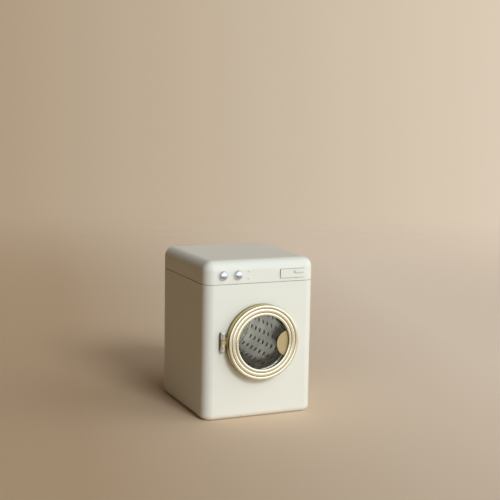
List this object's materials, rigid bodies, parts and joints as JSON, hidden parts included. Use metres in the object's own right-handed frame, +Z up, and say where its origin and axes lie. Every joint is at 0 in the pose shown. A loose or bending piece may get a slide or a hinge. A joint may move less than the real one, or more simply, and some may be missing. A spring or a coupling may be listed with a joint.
{
  "type": "toy washing machine",
  "caption": "Front-loading toy washing machine: tinplate cabinet, ringed porthole door, turning perforated drum, two knobs and a sliding drawer.",
  "frame": {"origin": "middle of the underside, on the floor", "axes": "X to the right and -Y out of the front, seen facing the door; +Z up"},
  "size_m": [0.104, 0.1209, 0.14],
  "materials": {
    "cream_enamel": "semi-gloss stoved enamel on tinplate",
    "white_plastic": "moulded, fine matt",
    "screw_steel": "bright zinc plate",
    "tinned_steel": "rolled tinplate, satin",
    "rivet_steel": "pressed, satin",
    "axle_steel": "turned, satin",
    "drum_steel": "rolled and punched, satin",
    "bronze": "sintered",
    "hinge_chrome": "polished plate",
    "magnet_ferrite": "ground ferrite",
    "ring_brass": "pale gold lacquered, satin pressed sheet",
    "grip_gold": "pale gold, matt",
    "clear_window": "clear moulded sheet",
    "knob_chrome": "polished plate"
  },
  "bodies": {
    "cabinet": {"cabinet_shell": "cream_enamel", "base_plate": "cream_enamel", "back_panel": "cream_enamel", "back_panel_screws": "screw_steel", "top_cover": "cream_enamel", "top_cover_screws": "screw_steel", "opening_collar": "tinned_steel", "axle_plate": "tinned_steel", "axle_plate_rivets": "rivet_steel", "drum_axle": "axle_steel", "axle_washers": "axle_steel", "axle_clip": "axle_steel", "hinge_bracket": "hinge_chrome", "bracket_rivets": "hinge_chrome", "hinge_pin": "hinge_chrome", "hinge_washer": "hinge_chrome", "catch_magnet": "magnet_ferrite", "catch_cup": "axle_steel", "knob_bushes": "white_plastic", "drawer_guide": "tinned_steel"},
    "drum": {"drum_shell": "drum_steel", "drum_front_ring": "drum_steel", "drum_back": "drum_steel", "drum_hub": "drum_steel", "hub_rivets": "rivet_steel", "hub_bush": "bronze"},
    "door": {"door_ring": "ring_brass", "door_grip_plate": "grip_gold", "door_window": "clear_window", "window_retainer": "tinned_steel", "door_hinge_leaf": "ring_brass", "leaf_rivets": "ring_brass"},
    "left_knob": {"left_knob": "knob_chrome", "left_knob_clip": "axle_steel"},
    "right_knob": {"right_knob": "knob_chrome", "right_knob_clip": "axle_steel"},
    "drawer": {"drawer_front": "cream_enamel", "drawer_tray": "white_plastic", "drawer_pull": "cream_enamel"}
  },
  "joints": [
    {"name": "door_swing", "type": "hinge", "parent": "cabinet", "child": "door", "pos_m": [-0.0363, -0.059, 0.0705], "axis": [0, 0, -1], "range_deg": [0, 115]},
    {"name": "drum_spin", "type": "hinge", "parent": "cabinet", "child": "drum", "pos_m": [0, 0, 0.0685], "axis": [0, 1, 0], "continuous": true},
    {"name": "left_knob_turn", "type": "hinge", "parent": "cabinet", "child": "left_knob", "pos_m": [-0.0353, -0.055, 0.1277], "axis": [0, -1, 0], "continuous": true},
    {"name": "right_knob_turn", "type": "hinge", "parent": "cabinet", "child": "right_knob", "pos_m": [-0.0214, -0.055, 0.1277], "axis": [0, -1, 0], "continuous": true},
    {"name": "drawer_slide", "type": "slide", "parent": "cabinet", "child": "drawer", "axis": [0, -1, 0], "range_m": [0, 0.02]}
  ]
}
